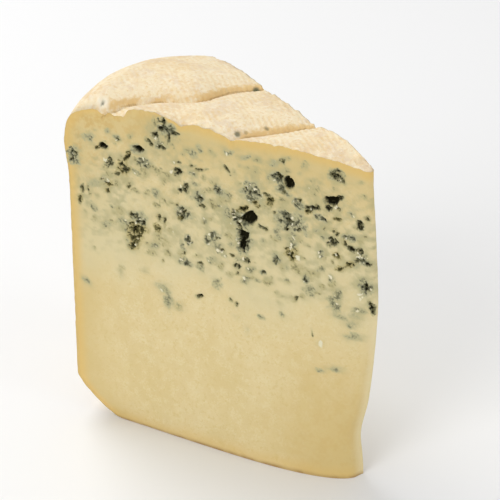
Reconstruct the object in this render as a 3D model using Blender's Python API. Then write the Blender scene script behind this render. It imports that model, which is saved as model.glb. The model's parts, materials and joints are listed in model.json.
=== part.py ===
"""A wedge of smoked blue cheese, cut from a tall round wheel and standing on its bottom rind.

The wedge is one solid. Its plan is a sector of the wheel, with a blunt nose at the wheel's centre and
the rind's wall round the rim. The front cut faces -Y and runs along X, the nose points to +X, and the
back cut is turned behind it by the opening. The crown is three soft bands, parted by two creases that
run across the wedge. Sizes are in millimetres, measured from the wheel's centre on the ground; the
mesh is in metres, with its origin on the ground at the middle of the bounding box.
"""

import math

import bmesh
import bpy
from mathutils import Matrix, Vector

MM = 0.001

# The wheel that the wedge was cut from.
WHEEL_RADIUS = 110.0
OPENING = math.radians(34.5)
FRONT_HEADING = math.pi

# The nose: a blunt end between the two cuts, fuller at half height and chipped low down.
NOSE_FRONT = Vector((-1.4, 0.0))
NOSE_BACK = Vector((-3.4, 3.0))
NOSE_ROUNDING = 1.6
NOSE_BELLY, NOSE_BELLY_HEIGHT, NOSE_BELLY_SPREAD = 3.6, 66.0, 38.0
NOSE_CHIP, NOSE_CHIP_HEIGHT, NOSE_CHIP_SPREAD = 1.8, 17.0, 9.0

# The rind's wall: a sloping foot, a straight side with a lip near its top, and a round shoulder.
FOOT_WIDTH, FOOT_HEIGHT, FOOT_POWER = 17.0, 15.5, 1.25
SHOULDER_WIDTH, SHOULDER_HEIGHT, SHOULDER_POWER = 11.0, 11.0, 1.9
LIP, LIP_HEIGHT, LIP_SPREAD = 1.3, 107.0, 7.0
BACK_CORNER_INSET, BACK_CORNER_POWER = 3.0, 8.0

# The cuts lean out towards the foot and are bowed along their length.
FRONT_BOW_FOOT, FRONT_BOW_CROWN = 7.4, 0.8
BACK_BOW_FOOT, BACK_BOW_CROWN = 3.0, 0.2
BOW_SKEW = 0.5
LEAN_POWER = 1.5

# The crown: distances run from the nose towards the rim, square to the creases.
CREASE_HEADING = math.radians(41.5)
BAND_EDGES = (-6.0, 32.4, 63.4, 112.0)
EDGE_HEIGHTS = (113.6, 119.2, 121.2, 117.0)
FRONT_ARCHES = (3.6, 3.6, 8.4)
BACK_ARCHES = (4.6, 1.2, 2.0)
ARCH_POWER, ARCH_FADE_POWER = 0.7, 2.6

# The largest mould pockets in each cut: distance from the wheel's centre, height above the ground,
# width, height and depth of the pocket.
FRONT_POCKETS = (
    (42.5, 92.2, 6.4, 4.2, 4.2),
    (44.0, 83.5, 4.4, 7.6, 3.2),
    (28.6, 108.4, 7.0, 4.4, 2.4),
    (11.4, 113.4, 4.0, 3.8, 2.4),
    (13.2, 104.6, 5.0, 3.6, 2.6),
    (28.0, 94.2, 8.0, 6.0, 1.4),
    (20.0, 100.9, 5.4, 2.2, 1.6),
    (28.2, 83.0, 4.6, 4.2, 2.6),
    (86.2, 76.6, 5.0, 9.4, 2.0),
    (76.2, 116.2, 4.6, 3.6, 2.4),
    (82.8, 109.8, 3.8, 2.8, 1.8),
    (94.0, 103.2, 3.4, 3.2, 1.8),
    (67.0, 90.0, 4.4, 2.8, 1.8),
    (3.8, 98.0, 3.2, 3.8, 1.6),
)
BACK_POCKETS = (
    (36.0, 98.0, 6.0, 4.6, 3.4),
    (58.0, 88.0, 5.0, 7.0, 2.8),
    (70.0, 106.0, 6.6, 4.2, 2.4),
    (24.0, 110.0, 4.2, 3.6, 2.2),
    (50.0, 110.0, 4.8, 3.2, 2.0),
    (90.0, 94.0, 4.0, 4.4, 2.0),
    (20.0, 84.0, 4.6, 4.0, 2.4),
    (78.0, 78.0, 5.0, 6.0, 1.8),
)

# The mesh: steps along the cuts, across the opening and up the wall.
STEPS_ALONG = 30
STEPS_ACROSS = 16
FOOT_STEPS = 4
SIDE_STEPS = 13
SHOULDER_STEPS = 5
STEPS_UP = FOOT_STEPS + SIDE_STEPS + SHOULDER_STEPS
POCKET_SUBDIVISIONS = 2
SHARP_ANGLE = math.radians(40.0)

CHEESE_COLOUR = (0.72, 0.60, 0.35, 1.0)
CHEESE_ROUGHNESS = 0.6


def clear_scene():
    """Remove every object that a new file holds."""
    for item in list(bpy.data.objects):
        bpy.data.objects.remove(item, do_unlink=True)


def hump(value, centre, spread):
    """A soft rise to 1 at the centre, gone a little beyond the spread."""
    return math.exp(-(((value - centre) / spread) ** 2))


def crown_height(place, across):
    """Height of the top rind at a place in plan: an arch over each band, and a crease between two.

    Each arch goes from its front height, where across is 0, to its back height, where it is 1.
    """
    distance = place.y * math.cos(CREASE_HEADING) - place.x * math.sin(CREASE_HEADING)
    distance = min(max(distance, BAND_EDGES[0]), BAND_EDGES[-1])
    band = 0
    while distance > BAND_EDGES[band + 1]:
        band += 1
    share = (distance - BAND_EDGES[band]) / (BAND_EDGES[band + 1] - BAND_EDGES[band])
    straight = EDGE_HEIGHTS[band] + share * (EDGE_HEIGHTS[band + 1] - EDGE_HEIGHTS[band])
    change = (BACK_ARCHES[band] - FRONT_ARCHES[band]) * across**ARCH_FADE_POWER
    return straight + (FRONT_ARCHES[band] + change) * (4.0 * share * (1.0 - share)) ** ARCH_POWER


def quarter_round(turn, power):
    """Shares of a rounded corner's inset and drop, at a turn of 0 on the level side to 1 on the wall."""
    angle = turn * math.pi / 2.0
    inset = 1.0 - math.sin(angle) ** (2.0 / power)
    drop = 1.0 - math.cos(angle) ** (2.0 / power)
    return inset, drop


def wall_level(level, top):
    """Height and inset of one level of the wall under a crown of the given height."""
    if level < FOOT_STEPS:
        inset, rise = quarter_round(level / FOOT_STEPS, FOOT_POWER)
        return FOOT_HEIGHT * rise, FOOT_WIDTH * inset
    if level <= FOOT_STEPS + SIDE_STEPS:
        share = (level - FOOT_STEPS) / SIDE_STEPS
        return FOOT_HEIGHT + share * (top - SHOULDER_HEIGHT - FOOT_HEIGHT), 0.0
    inset, drop = quarter_round((STEPS_UP - level) / SHOULDER_STEPS, SHOULDER_POWER)
    return top - SHOULDER_HEIGHT * drop, SHOULDER_WIDTH * inset


def nose_place(across, height):
    """The nose's place in plan, from the front cut's corner (0) to the back cut's (1)."""
    place = NOSE_FRONT.lerp(NOSE_BACK, across)
    belly = NOSE_BELLY * hump(height, NOSE_BELLY_HEIGHT, NOSE_BELLY_SPREAD)
    chip = NOSE_CHIP * hump(height, NOSE_CHIP_HEIGHT, NOSE_CHIP_SPREAD)
    place.x += belly - chip + NOSE_ROUNDING * math.sin(math.pi * across)
    return place


def rim_place(across, height, inset):
    """The rim's place in plan, pushed out by the lip and in by the foot or the shoulder."""
    heading = FRONT_HEADING - OPENING * across
    radius = WHEEL_RADIUS - inset + LIP * hump(height, LIP_HEIGHT, LIP_SPREAD)
    radius -= BACK_CORNER_INSET * across**BACK_CORNER_POWER
    return radius * Vector((math.cos(heading), math.sin(heading)))


def bow(along, height, foot_bow, crown_bow):
    """How far a cut stands out from its straight line, most at the foot."""
    lean = max(0.0, 1.0 - height / EDGE_HEIGHTS[-1]) ** LEAN_POWER
    return (crown_bow + (foot_bow - crown_bow) * lean) * math.sin(math.pi * along**BOW_SKEW)


def place_in_plan(along, across, height, inset):
    """Plan of a point between the nose (along 0) and the rim (1), the front (across 0) and back (1)."""
    place = nose_place(across, height).lerp(rim_place(across, height, inset), along)
    front_out = bow(along, height, FRONT_BOW_FOOT, FRONT_BOW_CROWN) * (1.0 - across)
    back_out = bow(along, height, BACK_BOW_FOOT, BACK_BOW_CROWN) * across
    place += Vector((0.0, -front_out))
    place += back_out * Vector((math.sin(OPENING), math.cos(OPENING)))
    return place


def wedge_point(i, j, k):
    """Position in millimetres of one point of the lattice: i along, j across and k up."""
    along, across = i / STEPS_ALONG, j / STEPS_ACROSS
    _, crown_inset = wall_level(STEPS_UP, EDGE_HEIGHTS[-1])
    top = crown_height(place_in_plan(along, across, EDGE_HEIGHTS[-1], crown_inset), across)
    height, inset = wall_level(k, top)
    plan = place_in_plan(along, across, height, inset)
    return Vector((plan.x, plan.y, height))


def lattice_quads():
    """Corner indices of each quad on the six sides of the lattice."""
    steps = (STEPS_ALONG, STEPS_ACROSS, STEPS_UP)
    for fixed in range(3):
        first, second = [axis for axis in range(3) if axis != fixed]
        for level in (0, steps[fixed]):
            for a in range(steps[first]):
                for b in range(steps[second]):
                    corners = ((a, b), (a + 1, b), (a + 1, b + 1), (a, b + 1))
                    yield [lattice_index(fixed, level, *corner) for corner in corners]


def lattice_index(fixed, level, a, b):
    """Index (along, across, up) of a point on the side where one axis is fixed at a level."""
    index = [a, b]
    index.insert(fixed, level)
    return tuple(index)


def make_material(name, colour, roughness):
    """A plain Principled material."""
    material = bpy.data.materials.new(name)
    material.use_nodes = True
    shader = material.node_tree.nodes["Principled BSDF"]
    shader.inputs["Base Color"].default_value = colour
    shader.inputs["Roughness"].default_value = roughness
    return material


def lattice_middle(points):
    """Middle of the bounding box of points, in plan, on the ground."""
    xs = [point.x for point in points]
    ys = [point.y for point in points]
    return Vector(((min(xs) + max(xs)) / 2.0, (min(ys) + max(ys)) / 2.0, 0.0))


def add_object(name, bm):
    """Link a new object that holds a finished mesh."""
    mesh = bpy.data.meshes.new(name)
    bm.to_mesh(mesh)
    bm.free()
    made = bpy.data.objects.new(name, mesh)
    bpy.context.scene.collection.objects.link(made)
    return made


def build_pockets(middle):
    """Squashed balls where mould has eaten holes into the two cuts, to be cut out of the wedge."""
    bm = bmesh.new()
    for pockets, across, turn in ((FRONT_POCKETS, 0.0, 0.0), (BACK_POCKETS, 1.0, -OPENING)):
        for distance, height, width, tall, depth in pockets:
            plan = place_in_plan(distance / WHEEL_RADIUS, across, height, 0.0)
            shape = Matrix.Diagonal((width / 2.0, depth, tall / 2.0, 1.0))
            place = Matrix.Translation(Vector((plan.x, plan.y, height)) - middle)
            matrix = Matrix.Scale(MM, 4) @ place @ Matrix.Rotation(turn, 4, "Z") @ shape
            bmesh.ops.create_icosphere(bm, subdivisions=POCKET_SUBDIVISIONS, radius=1.0, matrix=matrix)
    cutter = add_object("pocket_cutter", bm)
    cutter.hide_render = True
    cutter.display_type = "WIRE"
    return cutter


def build_wedge():
    """The wedge: the sides of a bent lattice, closed, on one flat face, less its mould pockets."""
    places = {index: wedge_point(*index) for quad in lattice_quads() for index in quad}
    middle = lattice_middle(places.values())
    bm = bmesh.new()
    verts = {index: bm.verts.new(MM * (place - middle)) for index, place in places.items()}
    for quad in lattice_quads():
        bm.faces.new([verts[index] for index in quad])
    ground = [face for face in bm.faces if all(vert.co.z == 0.0 for vert in face.verts)]
    bmesh.ops.dissolve_faces(bm, faces=ground)
    bmesh.ops.recalc_face_normals(bm, faces=bm.faces)
    wedge = add_object("cheese_wedge", bm)
    wedge.data.materials.append(make_material("cheese", CHEESE_COLOUR, CHEESE_ROUGHNESS))
    wedge.data.shade_smooth()
    wedge.data.set_sharp_from_angle(angle=SHARP_ANGLE)
    cut = wedge.modifiers.new("mould_pockets", "BOOLEAN")
    cut.operation = "DIFFERENCE"
    cut.object = build_pockets(middle)


clear_scene()
build_wedge()
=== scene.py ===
"""Looks of a standing wedge of smoked blue cheese: waxy cut paste, mould pockets and a thin dry rind.

The wedge is rebuilt as one closed skin from the sizes of its wheel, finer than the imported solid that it
stands for. Mould pockets, creases, chips and grain are real relief; the finishes read the same relief
as attributes of the mesh. Shapes are worked out in millimetres in the wheel's own frame, where the
wheel's axis is the origin, the front cut runs to -X and +Z is up.
"""

from __future__ import annotations

import json
import logging
import math
from dataclasses import dataclass, field, replace
from enum import Enum

import bmesh
import bpy
import numpy as np
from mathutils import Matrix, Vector

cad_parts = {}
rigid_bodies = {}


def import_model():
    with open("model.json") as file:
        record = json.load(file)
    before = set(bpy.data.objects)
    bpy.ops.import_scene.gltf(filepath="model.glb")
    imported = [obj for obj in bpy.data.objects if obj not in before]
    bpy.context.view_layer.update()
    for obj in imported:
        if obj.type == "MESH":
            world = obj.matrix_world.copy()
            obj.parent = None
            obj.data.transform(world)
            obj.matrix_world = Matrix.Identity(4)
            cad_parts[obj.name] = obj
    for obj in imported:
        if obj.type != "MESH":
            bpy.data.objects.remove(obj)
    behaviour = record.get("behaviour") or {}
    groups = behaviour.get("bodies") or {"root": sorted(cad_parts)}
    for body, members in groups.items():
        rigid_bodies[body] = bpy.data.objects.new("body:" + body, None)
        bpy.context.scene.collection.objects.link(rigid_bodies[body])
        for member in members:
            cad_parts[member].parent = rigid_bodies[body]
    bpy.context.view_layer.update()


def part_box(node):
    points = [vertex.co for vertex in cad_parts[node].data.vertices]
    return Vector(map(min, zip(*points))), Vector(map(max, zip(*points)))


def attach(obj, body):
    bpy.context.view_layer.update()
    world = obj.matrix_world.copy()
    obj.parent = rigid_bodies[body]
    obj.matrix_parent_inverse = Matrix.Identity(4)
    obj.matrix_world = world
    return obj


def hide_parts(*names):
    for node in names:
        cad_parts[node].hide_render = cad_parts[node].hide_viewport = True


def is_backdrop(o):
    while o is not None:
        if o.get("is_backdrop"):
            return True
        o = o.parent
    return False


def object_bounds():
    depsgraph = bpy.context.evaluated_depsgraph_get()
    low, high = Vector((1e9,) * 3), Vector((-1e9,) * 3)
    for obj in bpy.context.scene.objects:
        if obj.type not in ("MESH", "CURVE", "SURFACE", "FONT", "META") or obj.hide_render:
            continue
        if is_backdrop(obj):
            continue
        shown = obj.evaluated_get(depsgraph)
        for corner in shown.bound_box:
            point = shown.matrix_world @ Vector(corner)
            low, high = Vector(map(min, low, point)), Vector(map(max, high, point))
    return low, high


Array = np.ndarray
Socket = bpy.types.NodeSocket
Material = bpy.types.Material
Mesh = bpy.types.Mesh
Colour = tuple[float, float, float, float]

NODE = "cheese_wedge"
BODY = "root"
MM = 0.001  # A millimetre, in metres.
LOG = logging.getLogger("cheese")
EDGE = 1e-6  # How near a lattice share counts as on a side.


def smooth(value: Array, low: float, high: float) -> Array:
    """Smooth step from 0 at low to 1 at high; low may be the larger of the two."""
    share = np.clip((value - low) / (high - low), 0.0, 1.0)
    return share * share * (3.0 - 2.0 * share)


def hump(value: Array, centre: float, spread: float) -> Array:
    """A soft rise to 1 at the centre, gone a little beyond the spread."""
    return np.exp(-(((value - centre) / spread) ** 2))


def linear(red: int, green: int, blue: int) -> Colour:
    """Linear colour of a display colour given in steps of 0 to 255."""
    shares = [channel / 255.0 for channel in (red, green, blue)]
    curve = [s / 12.92 if s <= 0.04045 else ((s + 0.055) / 1.055) ** 2.4 for s in shares]
    return (*curve, 1.0)


def rows(items: bpy.types.bpy_prop_collection, name: str) -> Array:
    """A vector of each item of a mesh, one row each."""
    values = np.zeros(len(items) * 3, np.float32)
    items.foreach_get(name, values)
    return values.reshape(-1, 3).astype(float)


# ---------------------------------------------------------------------------------------------- noise


@dataclass(frozen=True)
class Noise:
    """Seeded value noise in space.

    Attributes:
        size: Width of its lumps, in millimetres.
        seed: Which pattern it is.
        height: Factor on its values, which are from about -1 to 1.
        octaves: Layers, each half as wide and half as strong as the last.
        stretch: Factor on the size along each axis.
    """

    size: float
    seed: int
    height: float = 1.0
    octaves: int = 2
    stretch: tuple[float, float, float] = (1.0, 1.0, 1.0)

    def at(self, points: Array) -> Array:
        """Noise at points.

        Args:
            points: Places in millimetres, one row each.

        Returns:
            One value for each row.
        """
        total = np.zeros(len(points))
        strength, weights = 1.0, 0.0
        places = points / (self.size * np.array(self.stretch))
        for layer in range(self.octaves):
            total += strength * self._layer(places * 2.0**layer + 17.3 * layer, self.seed + 101 * layer)
            weights += strength
            strength *= 0.5
        return total / weights * self.height

    def bend(self, points: Array) -> Array:
        """Points moved by three noises, of this seed and of the next two."""
        moves = [replace(self, seed=self.seed + axis).at(points) for axis in range(3)]
        return points + np.column_stack(moves)

    @staticmethod
    def _layer(places: Array, seed: int) -> Array:
        """One octave: random corner values of a unit lattice, blended smoothly between them."""
        corner = np.floor(places).astype(np.int64)
        share = places - corner
        share = share**3 * (share * (share * 6.0 - 15.0) + 10.0)
        total = np.zeros(len(places))
        for step in np.ndindex(2, 2, 2):
            weight = np.abs(1 - np.array(step) - share).prod(axis=1)
            total += weight * Noise.corner(corner + np.array(step), seed)
        return total

    @staticmethod
    def corner(corner: Array, seed: int) -> Array:
        """Random value from -1 to 1 of each lattice corner."""
        mixed = corner[:, 0] * 73856093 ^ corner[:, 1] * 19349663 ^ corner[:, 2] * 83492791
        mixed = mixed ^ seed * 2654435761
        mixed = (mixed ^ (mixed >> 13)) * 1274126177 & 0xFFFFFFFF
        mixed = (mixed ^ (mixed >> 16)) * 2246822519 & 0xFFFFFFFF
        return (mixed ^ (mixed >> 15)) / 0x7FFFFFFF - 1.0


@dataclass(frozen=True)
class Crumbs:
    """Seeded crumbs that fill space, packed together.

    Attributes:
        size: Mean width of a crumb, in millimetres.
        seed: Which pattern it is.
    """

    size: float
    seed: int

    def at(self, points: Array) -> tuple[Array, Array]:
        """How far inside its crumb each point is, and a random number for that crumb.

        Args:
            points: Places in millimetres, one row each.

        Returns:
            The first from 0 on the gap between two crumbs, and the second from 0 to 1.
        """
        places = points / self.size
        corner = np.floor(places).astype(np.int64)
        nearest = np.full(len(points), 9.0)
        second = nearest.copy()
        pick = np.zeros(len(points))
        for step in np.ndindex(3, 3, 3):
            cell = corner + np.array(step) - 1
            seeds = np.column_stack([Noise.corner(cell, self.seed + axis) for axis in range(3)])
            away = np.linalg.norm(places - cell - 0.5 - 0.45 * seeds, axis=1)
            closer = away < nearest
            second = np.where(closer, nearest, np.minimum(second, away))
            pick = np.where(closer, 0.5 + 0.5 * Noise.corner(cell, self.seed + 3), pick)
            nearest = np.where(closer, away, nearest)
        return second - nearest, pick


# ---------------------------------------------------------------------------------------- the wheel


class Side(Enum):
    """The two cuts of the wedge, as their share of the way across it."""

    FRONT = 0.0
    BACK = 1.0


@dataclass(frozen=True)
class Wheel:
    """Sizes of the wheel and of the wedge cut from it, in millimetres and radians.

    The wedge is a bent lattice: along runs from the nose to the rind's wall, across from the front cut
    to the back cut, and up from the base to the crown, each from 0 to 1.
    """

    radius: float = 110.0
    opening: float = math.radians(34.5)
    nose_front: tuple[float, float] = (-1.4, 0.0)
    nose_back: tuple[float, float] = (-3.4, 3.0)
    nose_rounding: float = 1.6
    nose_belly: tuple[float, float, float] = (3.6, 66.0, 38.0)
    nose_chip: tuple[float, float, float] = (1.8, 17.0, 9.0)
    foot_width: float = 17.0
    foot_height: float = 15.5
    foot_power: float = 1.25
    foot_share: float = 0.17
    shoulder: float = 11.0
    shoulder_power: float = 1.9
    shoulder_share: float = 0.12
    shoulder_fade: float = 6.0
    lip: tuple[float, float, float] = (1.3, 107.0, 7.0)
    corner_inset: float = 3.0
    corner_power: float = 8.0
    front_bow: tuple[float, float] = (7.4, 0.8)
    back_bow: tuple[float, float] = (3.0, 0.2)
    bow_skew: float = 0.5
    lean_power: float = 1.5
    crease_heading: float = math.radians(41.5)
    crease_bend: tuple[float, float, float] = (4.6, -40.0, 8.5)
    band_edges: tuple[float, ...] = (-6.0, 32.4, 63.4, 112.0)
    edge_heights: tuple[float, ...] = (113.6, 119.2, 121.2, 117.0)
    front_arches: tuple[float, ...] = (3.6, 3.6, 8.4)
    back_arches: tuple[float, ...] = (4.6, 1.2, 3.3)
    arch_power: float = 0.7
    arch_fade_power: float = 2.6

    def by_creases(self, plan: Array) -> tuple[Array, Array]:
        """Places in plan as seen along the creases.

        Args:
            plan: Places, one row each, x and y first.

        Returns:
            How far along a crease each is, and how far from the wheel's axis towards the rim, square to
            the creases and with the bend in the outer one.
        """
        size, place, spread = self.crease_bend
        cos, sin = math.cos(self.crease_heading), math.sin(self.crease_heading)
        sideways = plan[:, 0] * cos + plan[:, 1] * sin
        distance = plan[:, 1] * cos - plan[:, 0] * sin
        outer = self.band_edges[-2]
        return sideways, distance + size * hump(sideways, place, spread) * hump(distance, outer, 2.0 * spread)

    def crown_height(self, plan: Array, across: Array) -> Array:
        """Height of the crown: an arch over each band, and a crease between two.

        Args:
            plan: Places in plan, one row each.
            across: Share of the way from the front cut to the back cut.

        Returns:
            The height at each place.
        """
        edges = np.array(self.band_edges)
        distance = np.clip(self.by_creases(plan)[1], edges[0], edges[-1])
        band = np.clip(np.searchsorted(edges, distance, side="left") - 1, 0, len(edges) - 2)
        share = (distance - edges[band]) / (edges[band + 1] - edges[band])
        straight = np.interp(distance, edges, self.edge_heights)
        front, back = np.array(self.front_arches)[band], np.array(self.back_arches)[band]
        arch = front + (back - front) * across**self.arch_fade_power
        return straight + arch * np.clip(4.0 * share * (1.0 - share), 0.0, 1.0) ** self.arch_power

    @staticmethod
    def quarter_round(turn: Array, power: float) -> tuple[Array, Array]:
        """Shares of a rounded corner's inset and drop, at a turn of 0 on the level to 1 on the wall."""
        angle = np.clip(turn, 0.0, 1.0) * math.pi / 2.0
        return 1.0 - np.sin(angle) ** (2.0 / power), 1.0 - np.cos(angle) ** (2.0 / power)

    def wall(self, along: Array, up: Array, top: Array) -> tuple[Array, Array]:
        """Height and inset of the rind's wall.

        Args:
            along: Share of the way from the nose to the rim.
            up: Share of the way up the lattice.
            top: Height of the crown over each point.

        Returns:
            The height of each point, and how far the wall there is inside the wheel's radius.
        """
        foot_inset, foot_rise = self.quarter_round(up / self.foot_share, self.foot_power)
        over = (1.0 - up) / self.shoulder_share
        shoulder_inset, shoulder_drop = self.quarter_round(over, self.shoulder_power)
        straight = (up - self.foot_share) / (1.0 - self.foot_share - self.shoulder_share)
        height = self.foot_height + np.clip(straight, 0.0, 1.0) * (top - self.shoulder - self.foot_height)
        height = np.where(up < self.foot_share, self.foot_height * foot_rise, height)
        height = np.where(over < 1.0, top - self.shoulder * shoulder_drop, height)
        return height, self.foot_width * foot_inset + self.shoulder_reach(along) * shoulder_inset

    def shoulder_reach(self, along: Array) -> Array:
        """Inset of the crown's edge, which fades fast inward of the rim."""
        return self.shoulder * along**self.shoulder_fade

    def bow(self, along: Array, height: Array, sizes: tuple[float, float]) -> Array:
        """How far a cut stands out from its straight line, for sizes at the foot and at the crown."""
        lean = np.clip(1.0 - height / self.edge_heights[-1], 0.0, 1.0) ** self.lean_power
        foot, crown = sizes
        return (crown + (foot - crown) * lean) * np.sin(math.pi * along**self.bow_skew)

    def plan(self, along: Array, across: Array, height: Array, inset: Array) -> Array:
        """Places in plan between the nose and the rim, the front and the back.

        Args:
            along: Share of the way from the nose to the rim.
            across: Share of the way from the front cut to the back cut.
            height: Height of each point.
            inset: How far the wall is inside the wheel's radius there.

        Returns:
            One row of x and y for each point.
        """
        front, back = np.array(self.nose_front), np.array(self.nose_back)
        nose_x, nose_y = front[:, None] + (back - front)[:, None] * across
        nose_x = nose_x + self.nose_rounding * np.sin(math.pi * across)
        for sign, (size, centre, spread) in ((1.0, self.nose_belly), (-1.0, self.nose_chip)):
            nose_x = nose_x + sign * size * hump(height, centre, spread)
        lip, lip_height, lip_spread = self.lip
        radius = self.radius - inset + lip * hump(height, lip_height, lip_spread)
        radius = radius - self.corner_inset * across**self.corner_power
        heading = math.pi - self.opening * across
        x = nose_x + (radius * np.cos(heading) - nose_x) * along
        y = nose_y + (radius * np.sin(heading) - nose_y) * along
        back_out = self.bow(along, height, self.back_bow) * across
        x = x + back_out * math.sin(self.opening)
        y = y - self.bow(along, height, self.front_bow) * (1.0 - across) + back_out * math.cos(self.opening)
        return np.column_stack((x, y))

    def points(self, lattice: Array) -> Array:
        """Places of lattice points.

        Args:
            lattice: One row of along, across and up for each point.

        Returns:
            One row of x, y and z in millimetres for each point.
        """
        along, across, up = lattice.T
        level = np.full_like(along, self.edge_heights[-1])
        top = self.crown_height(self.plan(along, across, level, self.shoulder_reach(along)), across)
        height, inset = self.wall(along, up, top)
        return np.column_stack((self.plan(along, across, height, inset), height))

    def on_cut(self, side: Side, distance: float, height: float) -> Array:
        """Place on a cut, at a distance from the wheel's axis and a height over the ground."""
        values = [np.array([value]) for value in (distance / self.radius, side.value, height, 0.0)]
        return np.append(self.plan(*values)[0], height)

    def cut_axes(self, side: Side) -> Array:
        """Rows: the direction along a cut towards the rim, the direction out of it, and up."""
        cos, sin = math.cos(self.opening), math.sin(self.opening)
        if side is Side.FRONT:
            return np.array(((-1.0, 0.0, 0.0), (0.0, -1.0, 0.0), (0.0, 0.0, 1.0)))
        return np.array(((-cos, sin, 0.0), (sin, cos, 0.0), (0.0, 0.0, 1.0)))


# --------------------------------------------------------------------------------------- the mould


@dataclass(frozen=True)
class MouldStyle:
    """How one kind of mould pocket looks.

    Attributes:
        depth: Depth of its hollow, in millimetres.
        solid: Share of its size that is one solid patch of mould.
        dark: How dark its mould is, from 0 to 1.
        marks: Share of its area that is dark streaks and dots.
        haze: How dark the bloom over it is.
        curd: Share of its grains that are white curd, drawn pale partly as a painted glint.
        olive: From 0 for blue-grey mould to 1 for brown-green.
        veil: Strength of the grey-green stain round it.
    """

    depth: float
    solid: float
    dark: float
    marks: float
    haze: float
    curd: float
    olive: float
    veil: float


class Mould(Enum):
    """Kinds of mould pocket: depth, solid, dark, marks, haze, curd, olive and veil of each."""

    HOLE = MouldStyle(2.6, 1.0, 1.00, 0.30, 0.50, 0.08, 0.5, 0.8)
    CRUMBLE = MouldStyle(1.2, 0.46, 0.85, 0.64, 0.60, 0.09, 0.45, 0.9)
    BLUE = MouldStyle(0.8, 0.0, 0.78, 0.42, 0.56, 0.07, 0.1, 0.9)
    OLIVE = MouldStyle(1.0, 0.30, 0.82, 0.60, 0.58, 0.06, 0.9, 0.8)
    FLECK = MouldStyle(0.6, 0.66, 0.74, 0.50, 0.48, 0.0, 0.6, 0.7)
    SMEAR = MouldStyle(0.1, 0.0, 0.46, 0.44, 0.26, 0.0, 0.6, 0.8)
    WISP = MouldStyle(0.2, 0.0, 0.58, 0.42, 0.42, 0.04, 0.2, 1.0)
    CURD = MouldStyle(0.2, 0.0, 0.30, 0.06, 0.10, 0.50, 0.3, 0.3)


@dataclass(frozen=True)
class Pocket:
    """One mould pocket in a cut.

    Attributes:
        kind: What it looks like.
        distance: Distance from the wheel's axis, in millimetres.
        height: Height over the ground.
        width: Size along the cut.
        tall: Size up the cut.
        turn: Degrees by which it is turned, outer end up.
    """

    kind: Mould
    distance: float
    height: float
    width: float
    tall: float
    turn: float = 0.0
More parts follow.
